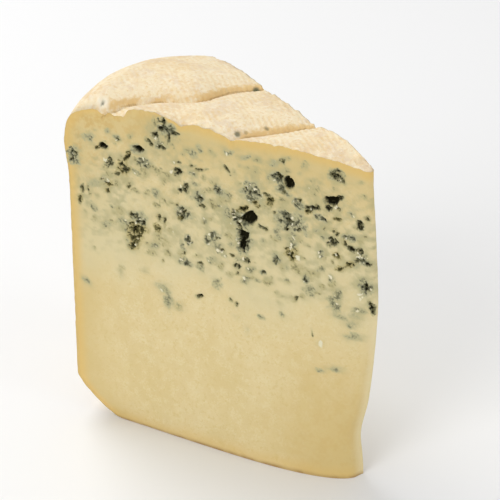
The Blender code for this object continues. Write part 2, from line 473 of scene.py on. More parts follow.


# Pockets listed one by one: distance, height, width and tall of each, and its turn where it has one.
FRONT_POCKETS: dict[Mould, tuple[tuple[float, ...], ...]] = {
    Mould.HOLE: (
        (13.2, 104.6, 4.4, 3.4, 10), (28, 107.9, 4.2, 3.6, -20), (43.1, 92.2, 5.6, 4, -18),
        (45.4, 85.6, 3.2, 3.4, 10), (45.8, 82.2, 1.9, 4.6, 8), (82.3, 110, 2.8, 2.4, 10),
        (95.9, 108.5, 2.3, 2.2), (61.4, 59.2, 2.4, 1.5, -10),
    ),
    Mould.CRUMBLE: (
        (11.2, 113.5, 4.2, 3.4, 35), (10.3, 105.8, 2.6, 1.8, -25), (14.1, 101.9, 2.8, 2),
        (20.2, 100.8, 5, 1.8, -6), (4, 98.6, 2.4, 2, -10), (3.4, 97.2, 2.8, 1.8, 30),
        (13.8, 89.9, 3, 2.4, -15), (7.8, 88, 3.2, 1.5, 25), (4.4, 87.7, 2.4, 2.2), (5.4, 84.2, 2.8, 2.2),
        (1.8, 83.7, 2.2, 1.8, 15), (2.4, 75.2, 2, 2.2), (1.8, 73.8, 1.8, 1.8), (0.9, 67.8, 1.7, 6.4, -18),
        (30.6, 109.4, 2.8, 2.2, 20), (28.6, 94.4, 2.8, 1.6, 30), (29.4, 91.2, 2.4, 1.4, -20),
        (25, 92, 1.6, 2.2), (38.8, 90.4, 2.4, 1.4, 35), (48.4, 93.6, 1.6, 2.8, 8), (46.6, 89, 2.2, 3),
        (45.4, 86.9, 1.8, 2.8, -8), (44.6, 76.6, 2.4, 2, 10), (48, 73.4, 2, 2), (74.2, 121.5, 3.4, 2.8),
        (74.8, 118.4, 1.6, 3.2), (76.6, 116, 3.8, 2.8, 15), (69.8, 118.2, 2.8, 1.6, -20),
        (71.6, 116, 1.3, 3.2), (73.4, 112.3, 4, 1.2), (93.5, 103.4, 1.8, 3.2), (95.2, 101.8, 1.6, 1.6),
        (89.2, 101.7, 3.4, 2.4), (68.3, 104, 3.2, 2.2, 5), (65.6, 98.8, 1.7, 2.8, 10),
        (67.6, 97.4, 1.5, 1.5), (61.2, 96.6, 2.2, 1.3, -15), (108.4, 101.2, 2.4, 1.4, -20),
        (84.6, 83.8, 2, 1.4), (86.8, 84.4, 1.3, 2.4, 10), (82.9, 82.2, 1.8, 1.6, 20),
        (85.4, 81.6, 1.6, 1.4), (67.2, 90, 3.6, 1.6, -20),
    ),
    Mould.BLUE: (
        (25.2, 101.2, 4.4, 3, 20), (17.4, 97.8, 4.4, 2.2, 25), (7.5, 92.4, 4.2, 2.2, 10),
        (3.8, 84.2, 4.6, 2.6, 8), (18, 84.6, 2.4, 2.8), (2.4, 74.5, 4.4, 4.2), (31.8, 109.2, 4.4, 3.6, 20),
        (31, 105.6, 3.4, 2.6), (28, 94.2, 8.6, 6.6), (41.4, 101.8, 7, 5.4, 30), (33.2, 79, 2.6, 3.6, -20),
        (38.6, 73.2, 2.6, 2.2), (23, 74, 1.8, 2.8), (46.4, 90.6, 5, 6.4), (45.2, 84, 4.8, 8.4, 14),
        (53.2, 100.4, 3, 4.2, -40), (55.4, 83.2, 3.6, 2.6, 15), (58.2, 81.2, 2.2, 2.4, -20),
        (72.6, 119.4, 5.4, 4.6, -15), (83, 109.6, 4, 3), (80.6, 105, 4.6, 3.6, -10), (61.4, 96.4, 4.2, 4.6),
        (107.8, 102.4, 4.4, 6, -15), (84.4, 83.2, 4.6, 4.4), (67.6, 89.4, 5, 4.2),
        (68.2, 76.6, 1.8, 3.4, -20), (65.4, 79, 2.6, 3.4, -25), (67.4, 71, 4.4, 2.2, 10),
    ),
    Mould.OLIVE: (
        (22, 99, 2.6, 1.8, -20), (11.4, 98.2, 2.4, 1.5, 15), (12.2, 85.1, 1.7, 1.9), (11.8, 81, 1.8, 2.2),
        (7.4, 82.8, 3, 2.4, -20), (35.2, 100.2, 2.2, 2.8), (40, 99.2, 2.2, 2), (39.4, 97.6, 1.6, 1.6),
        (45, 95.6, 4, 2.2, -30), (28.2, 82.8, 4.6, 3.6, -25), (86.2, 107, 1.5, 4.6, 25),
        (97.8, 107.4, 1.8, 1.4), (89.4, 101.4, 5, 3.6, 35), (95.2, 94.6, 2.8, 2.4), (96.4, 92.2, 1.8, 1.8),
        (106.5, 86.4, 1.8, 2.2), (85.8, 79, 6.6, 5.4), (86.1, 75.4, 4.4, 7, 8), (84.6, 78, 2.2, 7, 6),
        (77.5, 81.6, 2, 2), (68.4, 87.8, 2.2, 2),
    ),
    Mould.FLECK: (
        (8.6, 112, 1.2, 2.2, -20), (10.9, 101.9, 1.2, 1.6), (17.9, 101.8, 1.3, 2.6, -20),
        (24.2, 102.8, 1.8, 1.5), (1.2, 100.4, 1.6, 1.5), (13.3, 93.4, 1.8, 1.2), (12, 93, 1.4, 2, 20),
        (9.5, 90, 1.6, 2.2), (13.9, 82.1, 1.2, 1.3), (31.6, 110, 2.4, 1.1, 5), (30, 104.4, 1.8, 1.5),
        (30.2, 115.2, 1.2, 2.4), (33.4, 96.4, 1.6, 1.4), (36.3, 102.1, 2.6, 1.6, 25),
        (40.4, 103.4, 1.6, 1.6), (43.8, 103.4, 1.6, 1.4), (33.4, 78.4, 1.2, 1.8), (38.4, 73, 1.2, 1.4),
        (26.6, 66.5, 1, 2.6), (37.2, 89.6, 2.2, 1.5, 30), (47.6, 71, 1.3, 1.3), (49.8, 77, 2, 1, 10),
        (50.4, 108.8, 1.3, 4.2, -40), (55, 82.8, 2.2, 1.2, 10), (53.6, 78.5, 1.9, 1.9),
        (60, 106.3, 4.6, 1.2, -12), (50, 60.9, 1.8, 1.6), (48, 59.2, 1.4, 1.8), (79.6, 113.8, 2.4, 1.5, 15),
        (78.2, 112.6, 1.6, 1.2), (89.8, 112.4, 2.2, 0.9, -15), (91.4, 99.2, 2.6, 1.3, -35),
        (87.4, 95.4, 2, 1, -20), (97.6, 96.2, 1.5, 1), (80, 105.6, 2.2, 1.5, 10),
        (67.8, 107.7, 1.9, 1, -10), (62.6, 107.6, 2, 1, -10), (60.2, 93.5, 2.8, 1.5),
        (102.8, 90.4, 0.9, 3.4, 5), (102.8, 88, 1.3, 1.2), (105.4, 90.4, 1.2, 2.6, 15),
        (106.6, 85, 1.4, 1.2), (106.2, 103.8, 1.6, 1.8), (90.8, 88, 1, 1), (86.8, 75, 1.8, 4, 10),
        (87.8, 72.6, 1.8, 1.6), (76.6, 85.6, 1.2, 2.8, 10), (74.5, 84.6, 1.2, 3.6, 5),
        (69.5, 91.8, 1.7, 1.4), (67.4, 74.3, 1.3, 1.3), (66.4, 70.4, 2.6, 0.9, 25),
        (61.4, 71.2, 2.6, 1, -12), (75.1, 69.8, 0.9, 2), (20.4, 54.4, 0.7, 2.2, -20),
    ),
    Mould.SMEAR: (
        (12, 109.4, 2, 1.6), (19.3, 110.8, 2.2, 1.8), (19.3, 107.6, 5.4, 3.6, 10), (3.5, 91.4, 2, 2),
        (13.4, 72.4, 3.4, 1.4), (18.4, 70.4, 2.4, 2.2), (35, 108, 2.8, 3), (30.6, 115.8, 5.4, 1.6, -25),
        (26.7, 89.2, 2.6, 3, -35), (32.8, 85.8, 2.4, 1.1), (35.2, 87, 1.4, 1.2), (43, 73.4, 2.4, 1.8),
        (29.5, 71.5, 2, 1.6), (42.8, 70.8, 3.4, 1.4), (28.6, 66, 2.4, 1.6), (50.2, 83.9, 2.8, 2),
        (57.6, 99.4, 5, 2, -25), (54.3, 73.1, 3.4, 1, -15), (74.2, 116.6, 9, 10.6, -15),
        (79.6, 104.2, 13, 3.4, 10), (88.4, 97.6, 5, 3, 20), (81.2, 101.6, 4, 3), (97.6, 94.2, 2.6, 1.6),
        (85.2, 93.6, 3.8, 1.8), (74.6, 76.4, 3.6, 2.8), (80, 74.8, 2.4, 2), (79.5, 71.4, 3.4, 2),
        (91.6, 61.8, 2, 3.4),
    ),
    Mould.WISP: (
        (89.6, 80.4, 5.4, 3.2, 5), (75.5, 59.3, 4, 2.8), (73.4, 54.5, 2.4, 5.5), (5.8, 55.6, 5.6, 2.2),
        (5, 55.2, 3, 1.4), (6.4, 63.4, 4, 2), (7, 60.2, 4.4, 1.8), (4.6, 66, 3.4, 2), (11, 62.8, 3.8, 2),
        (14.4, 68.6, 3.6, 1.6), (10.4, 42.8, 4, 1.6), (15.6, 41.2, 3.2, 1.2),
    ),
    Mould.CURD: (
        (11.4, 102.8, 2.2, 1.6), (4.8, 85.8, 2.2, 1.2), (4.6, 71.4, 2.8, 1.8), (25.2, 107.2, 1.6, 2),
        (25.8, 81.4, 1.6, 2, -30), (45.8, 91.8, 2, 3.2), (46, 76.8, 1.4, 1.6), (91.2, 111.8, 2.6, 1.2, -15),
        (95.2, 103.6, 1.5, 2.4), (95.8, 95.8, 1.8, 1), (70.6, 104.2, 1.4, 1.8), (69.4, 107.4, 1.6, 0.9),
        (66.8, 98.8, 1.3, 1.8), (17, 51.2, 1.6, 3, 30), (47.5, 54.5, 3, 1.2), (43.4, 50.4, 1.6, 3.6),
    ),
}
BACK_POCKETS: dict[Mould, tuple[tuple[float, ...], ...]] = {
    Mould.HOLE: (
        (36, 98, 6, 4.6, 15), (58, 88, 4.6, 7, -20), (20, 84, 3.8, 3.6),
    ),
    Mould.CRUMBLE: (
        (70, 106, 7.4, 5.2), (50, 110, 5.8, 3.8, -15), (90, 94, 4.6, 5),
    ),
    Mould.BLUE: (
        (24, 110, 6.2, 5.6, 20),
    ),
    Mould.OLIVE: (
        (78, 78, 5, 7, 10),
    ),
}


@dataclass(frozen=True)
class MouldScatter:
    """Further pockets strewn over a cut by a seeded draw.

    Attributes:
        side: The cut that they are in.
        count: How many there are.
        seed: Which draw it is.
        kinds: The kinds drawn from, one as likely as another.
        widths: Least and greatest size.
        reach: Least and greatest distance from the wheel's axis.
        turns: Least and greatest turn, in degrees.
        heights: Mean height over the ground and the spread about it.
        top: The greatest height, lowered at random by up to top_spread.
        shapes: Least and greatest height of a pocket, as a share of its width.
    """

    side: Side
    count: int
    seed: int
    kinds: tuple[Mould, ...]
    widths: tuple[float, float]
    reach: tuple[float, float] = (2.0, 108.0)
    turns: tuple[float, float] = (-50.0, 50.0)
    heights: tuple[float, float] = (90.0, 15.0)
    top: float = 116.0
    top_spread: float = 4.0
    shapes: tuple[float, float] = (0.45, 1.25)

    def pockets(self) -> list[Pocket]:
        """The pockets drawn."""
        draw = np.random.default_rng(self.seed)
        made = []
        for _ in range(self.count):
            kind = self.kinds[int(draw.integers(len(self.kinds)))]
            distance = float(draw.uniform(*self.reach))
            height = min(float(draw.normal(*self.heights)), self.top - self.top_spread * float(draw.random()))
            width = float(draw.uniform(*self.widths))
            tall = width * float(draw.uniform(*self.shapes))
            made.append(Pocket(kind, distance, height, width, tall, float(draw.uniform(*self.turns))))
        return made


NOSE_HALF, RIM_HALF, LEVEL = (2.0, 62.0), (62.0, 106.0), (-30.0, 40.0)
CRUMBLY = (Mould.CRUMBLE, Mould.BLUE, Mould.OLIVE, Mould.CRUMBLE)
FLECKED = (Mould.FLECK, Mould.CRUMBLE, Mould.FLECK, Mould.OLIVE)
FAINT = (Mould.SMEAR, Mould.WISP)
SCATTERS = (
    MouldScatter(Side.FRONT, 105, 5, (Mould.SMEAR,), (1.0, 3.0), NOSE_HALF, LEVEL),
    MouldScatter(Side.FRONT, 45, 6, (Mould.SMEAR,), (1.0, 3.0), RIM_HALF, LEVEL),
    MouldScatter(Side.FRONT, 60, 8, (Mould.WISP,), (1.2, 3.6), NOSE_HALF, LEVEL),
    MouldScatter(Side.FRONT, 20, 9, (Mould.WISP,), (1.2, 3.6), RIM_HALF, LEVEL),
    MouldScatter(Side.BACK, 44, 11, CRUMBLY, (1.8, 5.0)),
    MouldScatter(Side.BACK, 70, 12, FLECKED, (0.9, 2.4)),
    MouldScatter(Side.BACK, 190, 14, FAINT, (1.0, 3.6)),
)


@dataclass(frozen=True)
class Textures:
    """What all pockets share, at each point of the skin.

    Attributes:
        places: Places warped for the pockets' outlines, in millimetres.
        wide: Wide raggedness of outlines, from -1 to 1.
        fine: Fine raggedness, in millimetres.
        grain: Rank of each point in the angular grain that mould grows by.
        gap: How far inside its curd crumb each point is.
        pick: Random number of that crumb.
        patch: Soft patches of bloom, from -1 to 1.
        streaks: Rank of each point in the slanting streaks.
    """

    places: Array
    wide: Array
    fine: Array
    grain: Array
    gap: Array
    pick: Array
    patch: Array
    streaks: Array


@dataclass
class MouldMap:
    """Where mould is on the wedge, and how deep it goes.

    Attributes:
        wheel: The wheel that the wedge is cut from.
        edge_warp: How ragged a pocket's outline is, as a share of its size.
        hole_warp: The share of that raggedness that a clean hole has.
        halo: How far a stain reaches, in pocket sizes.
        slant: How far the streaks lean.
        shallow: Depth of the marks in a pocket, in millimetres.
        curd_lift: How far white curd stands out.
        band: Heights between which mould runs through the cut, from its start to its end.
        pale_band: The same of the pale haze low in it.
    """

    wheel: Wheel
    edge_warp: float = 0.35
    hole_warp: float = 0.8
    halo: float = 2.1
    slant: float = 0.2
    shallow: float = 0.7
    curd_lift: float = 0.3
    band: tuple[float, float, float, float] = (60.0, 84.0, 106.0, 120.0)
    pale_band: tuple[float, float, float, float] = (48.0, 70.0, 82.0, 106.0)
    band_wave: Noise = Noise(19.0, 37, 7.0)
    band_patches: Noise = Noise(9.0, 39)
    grain_bend: Noise = Noise(2.6, 21, 0.8)
    outline_bend: Noise = Noise(3.4, 24, 0.9)
    outline_wide: Noise = Noise(2.2, 31)
    outline_fine: Noise = Noise(0.95, 36, 0.22)
    ridges: Noise = Noise(1.45, 32, stretch=(1.2, 1.0, 0.9))
    ridge_grain: Noise = Noise(0.75, 33, 0.26)
    crumbs: Crumbs = Crumbs(1.15, 46)
    crumb_share: float = 0.8
    curds: Crumbs = Crumbs(0.85, 41)
    bloom_patches: Noise = Noise(2.0, 35, 0.6, 3)
    streaks: Noise = Noise(2.0, 38, 1.0, 3, (1.2, 1.0, 0.8))

    def __post_init__(self) -> None:
        """Gather the pockets of both cuts."""
        self.pockets: list[tuple[Side, Pocket]] = []
        for side, placed in ((Side.FRONT, FRONT_POCKETS), (Side.BACK, BACK_POCKETS)):
            for kind, sizes in placed.items():
                self.pockets += [(side, Pocket(kind, *row)) for row in sizes]
        for scatter in SCATTERS:
            self.pockets += [(scatter.side, pocket) for pocket in scatter.pockets()]

    def local(self, side: Side, pocket: Pocket, points: Array) -> tuple[Array, Array]:
        """Distance of points from a pocket's middle, in half sizes.

        Args:
            side: The cut that the pocket is in.
            pocket: The pocket.
            points: Places in millimetres, one row each.

        Returns:
            Indices of the points near the pocket, and the distance of each from its middle.
        """
        centre = self.wheel.on_cut(side, pocket.distance, pocket.height)
        longest = 0.5 * max(pocket.width, pocket.tall)
        near = np.nonzero(np.abs(points - centre).max(axis=1) < 1.5 * self.halo * longest)[0]
        outer, out, high = ((points[near] - centre) @ self.wheel.cut_axes(side).T).T
        cos, sin = math.cos(math.radians(pocket.turn)), math.sin(math.radians(pocket.turn))
        outward = (outer * cos + high * sin) * 2.0 / pocket.width
        upward = (high * cos - outer * sin) * 2.0 / pocket.tall
        return near, np.sqrt(outward**2 + upward**2 + (out / longest) ** 2)

    def nearness(self, points: Array, margin: float) -> Array:
        """True for each point within a margin, in millimetres, of a pocket that has relief."""
        close = np.zeros(len(points), bool)
        for side, pocket in self.pockets:
            if pocket.kind.value.depth > 0.3:
                near, share = self.local(side, pocket, points)
                close[near[share < 1.15 + margin / (0.5 * min(pocket.width, pocket.tall))]] = True
        return close

    @staticmethod
    def ranks(values: Array) -> Array:
        """Each value's rank among them all, from 0 to 1, so that a threshold is a share of the area."""
        order = np.empty(len(values))
        order[np.argsort(values, kind="stable")] = np.linspace(0.0, 1.0, len(values))
        return order

    def haze(self, points: Array, streaks: Array) -> tuple[Array, Array]:
        """Broad colour of the band that mould runs through: pale haze low in it, and grey-green stain.

        Args:
            points: Places in millimetres, one row each.
            streaks: Rank of each in the slanting streaks.

        Returns:
            The haze and the stain, from 0 to 1.
        """
        height = points[:, 2] + self.band_wave.at(points)
        patches = self.ranks(self.band_patches.at(points))
        pale, stain = (
            smooth(height, start, full) * smooth(height, end, fade)
            for start, full, fade, end in (self.pale_band, self.band)
        )
        stain *= 0.12 + 0.62 * smooth(streaks, 0.25, 1.0) * (0.3 + 0.7 * patches)
        return pale * (0.55 + 0.45 * patches), stain

    def fields(self, points: Array) -> dict[str, Array]:
        """The mould's depth and colour masks at points.

        Args:
            points: Places in millimetres, one row each.

        Returns:
            Arrays by name: depth in millimetres, and masks from 0 to 1 for the finishes. The mask named
            mould says how dark the mould is, from a faint stain to black.
        """
        bent = self.grain_bend.bend(points)
        ridge = self.ranks(np.abs(self.ridges.at(bent)) + self.ridge_grain.at(bent))
        grain = self.ranks(ridge + self.crumb_share * self.crumbs.at(bent)[1])
        leaning = points + self.slant * np.column_stack((points[:, 2], np.zeros(len(points)), -points[:, 0]))
        streaks = self.ranks(self.streaks.at(leaning))
        textures = Textures(
            self.outline_bend.bend(points),
            self.outline_wide.at(points),
            self.outline_fine.at(points),
            grain,
            *self.curds.at(bent),
            self.bloom_patches.at(bent),
            streaks,
        )
        made = {name: np.zeros(len(points)) for name in ("depth", "mould", "curd", "olive", "raised")}
        made["haze"], made["veil"] = self.haze(points, streaks)
        for side, pocket in self.pockets:
            self._press(made, side, pocket, textures)
        made["curd"] *= smooth(made["mould"], 0.75, 0.5)
        made["depth"] -= made.pop("raised") * (1.0 - smooth(made["mould"], 0.4, 0.7))
        return made

    def _press(self, made: dict[str, Array], side: Side, pocket: Pocket, textures: Textures) -> None:
        """Add one pocket to the fields.

        Args:
            made: The fields so far.
            side: The cut that the pocket is in.
            pocket: The pocket.
            textures: What all pockets share.
        """
        style = pocket.kind.value
        near, share = self.local(side, pocket, textures.places)
        grain, pick = textures.grain[near], textures.pick[near]
        hole = style.solid >= 1.0
        warp = self.hole_warp if hole else 1.0
        frayed = np.clip(textures.fine[near] / (0.5 * min(pocket.width, pocket.tall)), -0.4, 0.4)
        ragged = share * (1.0 + warp * self.edge_warp * textures.wide[near]) + warp * frayed
        zone = smooth(ragged, 1.35, 0.75)
        core = (1.12, 0.94) if hole else (style.solid + 0.15, 0.55 * style.solid)
        solid = smooth(ragged, *core) * (style.solid > 0.0)
        bound = style.marks * zone
        marks = smooth(grain, bound + 0.08, bound - 0.28) * smooth(zone, 0.02, 0.25)
        mark = np.maximum(solid, marks)
        least = 1.0 - style.curd * zone
        # White curd grains, whose pale colour is partly a painted glint of wet curd
        curd = smooth(pick, least - 0.06, least + 0.02) * zone * (1.0 - solid) * (1.0 - marks)
        haze = style.haze * smooth(share * (1.0 + textures.patch[near]), 1.8, 0.5)
        dark = np.maximum(style.dark * mark, haze * (1.4 - 0.8 * grain))
        shallow = min(style.depth, self.shallow)
        bowl = np.sqrt(np.clip(1.0 - (0.9 * ragged) ** 2, 0.0, 1.0)) if hole else solid
        pit = shallow * mark * zone + (style.depth - shallow) * bowl
        lift = self.curd_lift * curd * smooth(textures.gap[near], 0.0, 0.35) * (style.depth > 0.15)
        stain = style.veil * np.exp(-2.2 * (share / self.halo) ** 2) * (0.45 + 0.75 * textures.streaks[near])
        tint = smooth(dark, made["mould"][near] - 0.05, made["mould"][near] + 0.05)
        made["olive"][near] += (style.olive - made["olive"][near]) * tint
        made["veil"][near] = 1.0 - (1.0 - made["veil"][near]) * (1.0 - 0.85 * stain)
        for name, values in (("depth", pit), ("raised", lift), ("mould", dark), ("curd", curd)):
            made[name][near] = np.maximum(made[name][near], values)


# ---------------------------------------------------------------------------------- shader building


class Nodes:
    """A small writer of shader nodes for one tree."""

    def __init__(self, tree: bpy.types.NodeTree) -> None:
        """Start in a tree."""
        self.tree = tree

    def add(self, kind: str, values: dict | None = None, **settings: object) -> bpy.types.Node:
        """Add a node.

        Args:
            kind: The node's type name, without its ShaderNode prefix.
            values: What each input holds, by name or index: a number, a colour or another node's output.
            settings: Attributes of the node.

        Returns:
            The node.
        """
        node = self.tree.nodes.new("ShaderNode" + kind)
        for name, value in settings.items():
            setattr(node, name, value)
        for key, value in (values or {}).items():
            self.feed(node.inputs[key], value)
        return node

    def feed(self, socket: Socket, value: object) -> None:
        """Link an output to a socket, or set the socket's own value."""
        if isinstance(value, Socket):
            self.tree.links.new(value, socket)
        else:
            socket.default_value = value

    def math(self, operation: str, first: object, second: object, clamp: bool = False) -> Socket:
        """Result of a Math node on two values."""
        return self.add("Math", {0: first, 1: second}, operation=operation, use_clamp=clamp).outputs[0]

    def times(self, first: object, second: object) -> Socket:
        """Product of two values."""
        return self.math("MULTIPLY", first, second)

    def swing(self, value: object, size: object) -> Socket:
        """A value from 0 to 1 made to swing about 0, by a size."""
        return self.times(self.math("SUBTRACT", value, 0.5), size)

    def coats(self, colour: object, *coats: tuple[object, object]) -> Socket:
        """Colour with coats laid over it in order, each a mask and the colour that it brings."""
        for mask, tint in coats:
            node = self.add("Mix", {0: mask, 6: colour, 7: tint}, data_type="RGBA")
            colour = node.outputs[2]
        return colour

    def ramp(self, value: object, low: object, high: object) -> Socket:
        """Value taken smoothly from 0 at low to 1 at high."""
        return self.add("MapRange", {0: value, 1: low, 2: high}, interpolation_type="SMOOTHSTEP").outputs[0]

    def noise(self, place: Socket, scale: object, detail: float = 2.0) -> Socket:
        """Noise from about 0 to 1, with a scale in lumps to the metre."""
        return self.add("TexNoise", {"Vector": place, "Scale": scale, "Detail": detail}).outputs[0]

    def attribute(self, name: str) -> Socket:
        """Value of a mesh attribute."""
        return self.add("Attribute", attribute_name=name).outputs["Fac"]

    def placed(self, tree: bpy.types.NodeTree, values: dict) -> Socket:
        """First output of a group placed with values."""
        return self.add("Group", values, node_tree=tree).outputs[0]


def new_group(name: str, inputs: dict[str, float | None], outputs: dict[str, str]) -> tuple:
    """An empty group with its sockets.

    Args:
        name: The group's name.
        inputs: Each input's default number, or None for a vector.
        outputs: Each output's type, Float or Color.

    Returns:
        A writer for the group, the inputs to read from and the outputs to feed.
    """
    tree = bpy.data.node_groups.new(name, "ShaderNodeTree")
    for label, default in inputs.items():
        kind = "NodeSocketVector" if default is None else "NodeSocketFloat"
        socket = tree.interface.new_socket(label, in_out="INPUT", socket_type=kind)
        if default is not None:
            socket.default_value = default
    for label, kind in outputs.items():
        tree.interface.new_socket(label, in_out="OUTPUT", socket_type="NodeSocket" + kind)
    return Nodes(tree), tree.nodes.new("NodeGroupInput").outputs, tree.nodes.new("NodeGroupOutput").inputs


class ShaderGroups:
    """Effects that more than one finish uses, each a node group built once."""

    def __init__(self) -> None:
        """Build the groups."""
        self.mottle = self._mottle()
        self.grain = self._grain()
        self.spread = self._spread()

    @staticmethod
    def _noises(nodes: Nodes, given: object, *layers: tuple[float, float]) -> list[Socket]:
        """Noises at a group's Place, each a factor on the scale that its Size gives, and a detail."""
        scale = nodes.math("DIVIDE", 1.0, given["Size"])
        return [nodes.noise(given["Place"], nodes.times(scale, factor), detail) for factor, detail in layers]

    def _mottle(self) -> bpy.types.NodeTree:
        """Soft patches: a mask from 0 to 1, of wide lumps broken by finer ones."""
        inputs = {"Place": None, "Size": 0.01, "Break": 0.35, "Low": 0.35, "High": 0.65}
        nodes, given, out = new_group("cheese_mottle", inputs, {"Mask": "Float"})
        wide, fine = self._noises(nodes, given, (1.0, 2.0), (4.3, 3.0))
        total = nodes.math("ADD", wide, nodes.swing(fine, given["Break"]))
        nodes.feed(out["Mask"], nodes.ramp(total, given["Low"], given["High"]))
        return nodes.tree

    def _grain(self) -> bpy.types.NodeTree:
        """Fine relief: a height from two layers of lumps."""
        inputs = {"Place": None, "Size": 0.001, "Fine": 0.3}
        nodes, given, out = new_group("cheese_grain", inputs, {"Height": "Float"})
        wide, fine = self._noises(nodes, given, (1.0, 3.0), (5.0, 2.0))
        nodes.feed(out["Height"], nodes.math("ADD", wide, nodes.times(fine, given["Fine"])))
        return nodes.tree

    def _spread(self) -> bpy.types.NodeTree:
        """A mask with its edge broken up finely: the softer the mask, the more its grain shows."""
        inputs = {"Mask": 0.0, "Place": None, "Size": 0.0006, "Break": 0.5, "Low": 0.4, "High": 0.6}
        nodes, given, out = new_group("cheese_spread", inputs, {"Mask": "Float"})
        (fine,) = self._noises(nodes, given, (1.0, 2.0))
        total = nodes.math("ADD", given["Mask"], nodes.swing(fine, given["Break"]))
        nodes.feed(out["Mask"], nodes.ramp(total, given["Low"], given["High"]))
        return nodes.tree


@dataclass(frozen=True)
class Mottle:
    """One layer of soft patches in a finish.

    Attributes:
        size: Width of the patches, or of the grain that breaks a mask's edge, in metres.
        broken: How much finer lumps break them.
        low: Value at which a patch starts.
        high: Value at which it is full.
        strength: How strong it is where it is full.
    """

    size: float
    broken: float
    low: float
    high: float
    strength: float = 1.0

    def mask(self, nodes: Nodes, groups: ShaderGroups, place: Socket, edge: str = "") -> Socket:
        """The layer's mask.

        Args:
            nodes: Where its nodes go.
            groups: The shared groups.
            place: Place on the piece.
            edge: The attribute whose edge it breaks up, or nothing for patches of its own.

        Returns:
            The mask, from 0 to the strength.
        """
        values = {"Place": place, "Size": self.size, "Break": self.broken, "Low": self.low, "High": self.high}
        tree = groups.mottle
        if edge:
            tree = groups.spread
            values["Mask"] = nodes.attribute(edge)
        return nodes.times(nodes.placed(tree, values), self.strength)


@dataclass(frozen=True)
class Sheen:
    """How a finish takes the light.

    Attributes:
        specular: Strength of its shine.
        scatter: How much light goes into it.
        radius: How far each colour goes, as a share of the scale.
        bump: Strength of its fine relief.
        bump_depth: Depth of that relief, in metres.
        scale: How far light goes at most, in metres.
    """

    specular: float
    scatter: float
    radius: tuple[float, float, float]
    bump: float
    bump_depth: float
    scale: float = 0.002

    def material(self, name: str) -> tuple[Material, Nodes, bpy.types.Node]:
        """A new material with this sheen: itself, its node writer and its shader."""
        made = bpy.data.materials.new(name)
        made.use_nodes = True
        shader = made.node_tree.nodes["Principled BSDF"]
        shader.inputs["Subsurface Weight"].default_value = self.scatter
        shader.inputs["Subsurface Radius"].default_value = self.radius
        shader.inputs["Subsurface Scale"].default_value = self.scale
        shader.inputs["Specular IOR Level"].default_value = self.specular
        return made, Nodes(made.node_tree), shader

    def dress(self, nodes: Nodes, shader: bpy.types.Node, *sources: Socket) -> None:
        """Feed a shader its colour, its roughness and its fine relief, in that order."""
        colour, rough, height = sources
        nodes.feed(shader.inputs["Base Color"], colour)
        nodes.feed(shader.inputs["Roughness"], rough)
        bump = nodes.add("Bump", {"Height": height, "Strength": self.bump, "Distance": self.bump_depth})
        nodes.feed(shader.inputs["Normal"], bump.outputs[0])


@dataclass(frozen=True)
class MouldStage:
    """One stage of mould, laid over the paste and over the stages before it.

    Attributes:
        low: How dark the mould is where the stage starts to show.
        high: How dark it is where the stage is full.
        cool: The stage's colour in blue-grey mould.
        warm: Its colour in brown-green mould.
    """

    low: float
    high: float
    cool: Colour
    warm: Colour


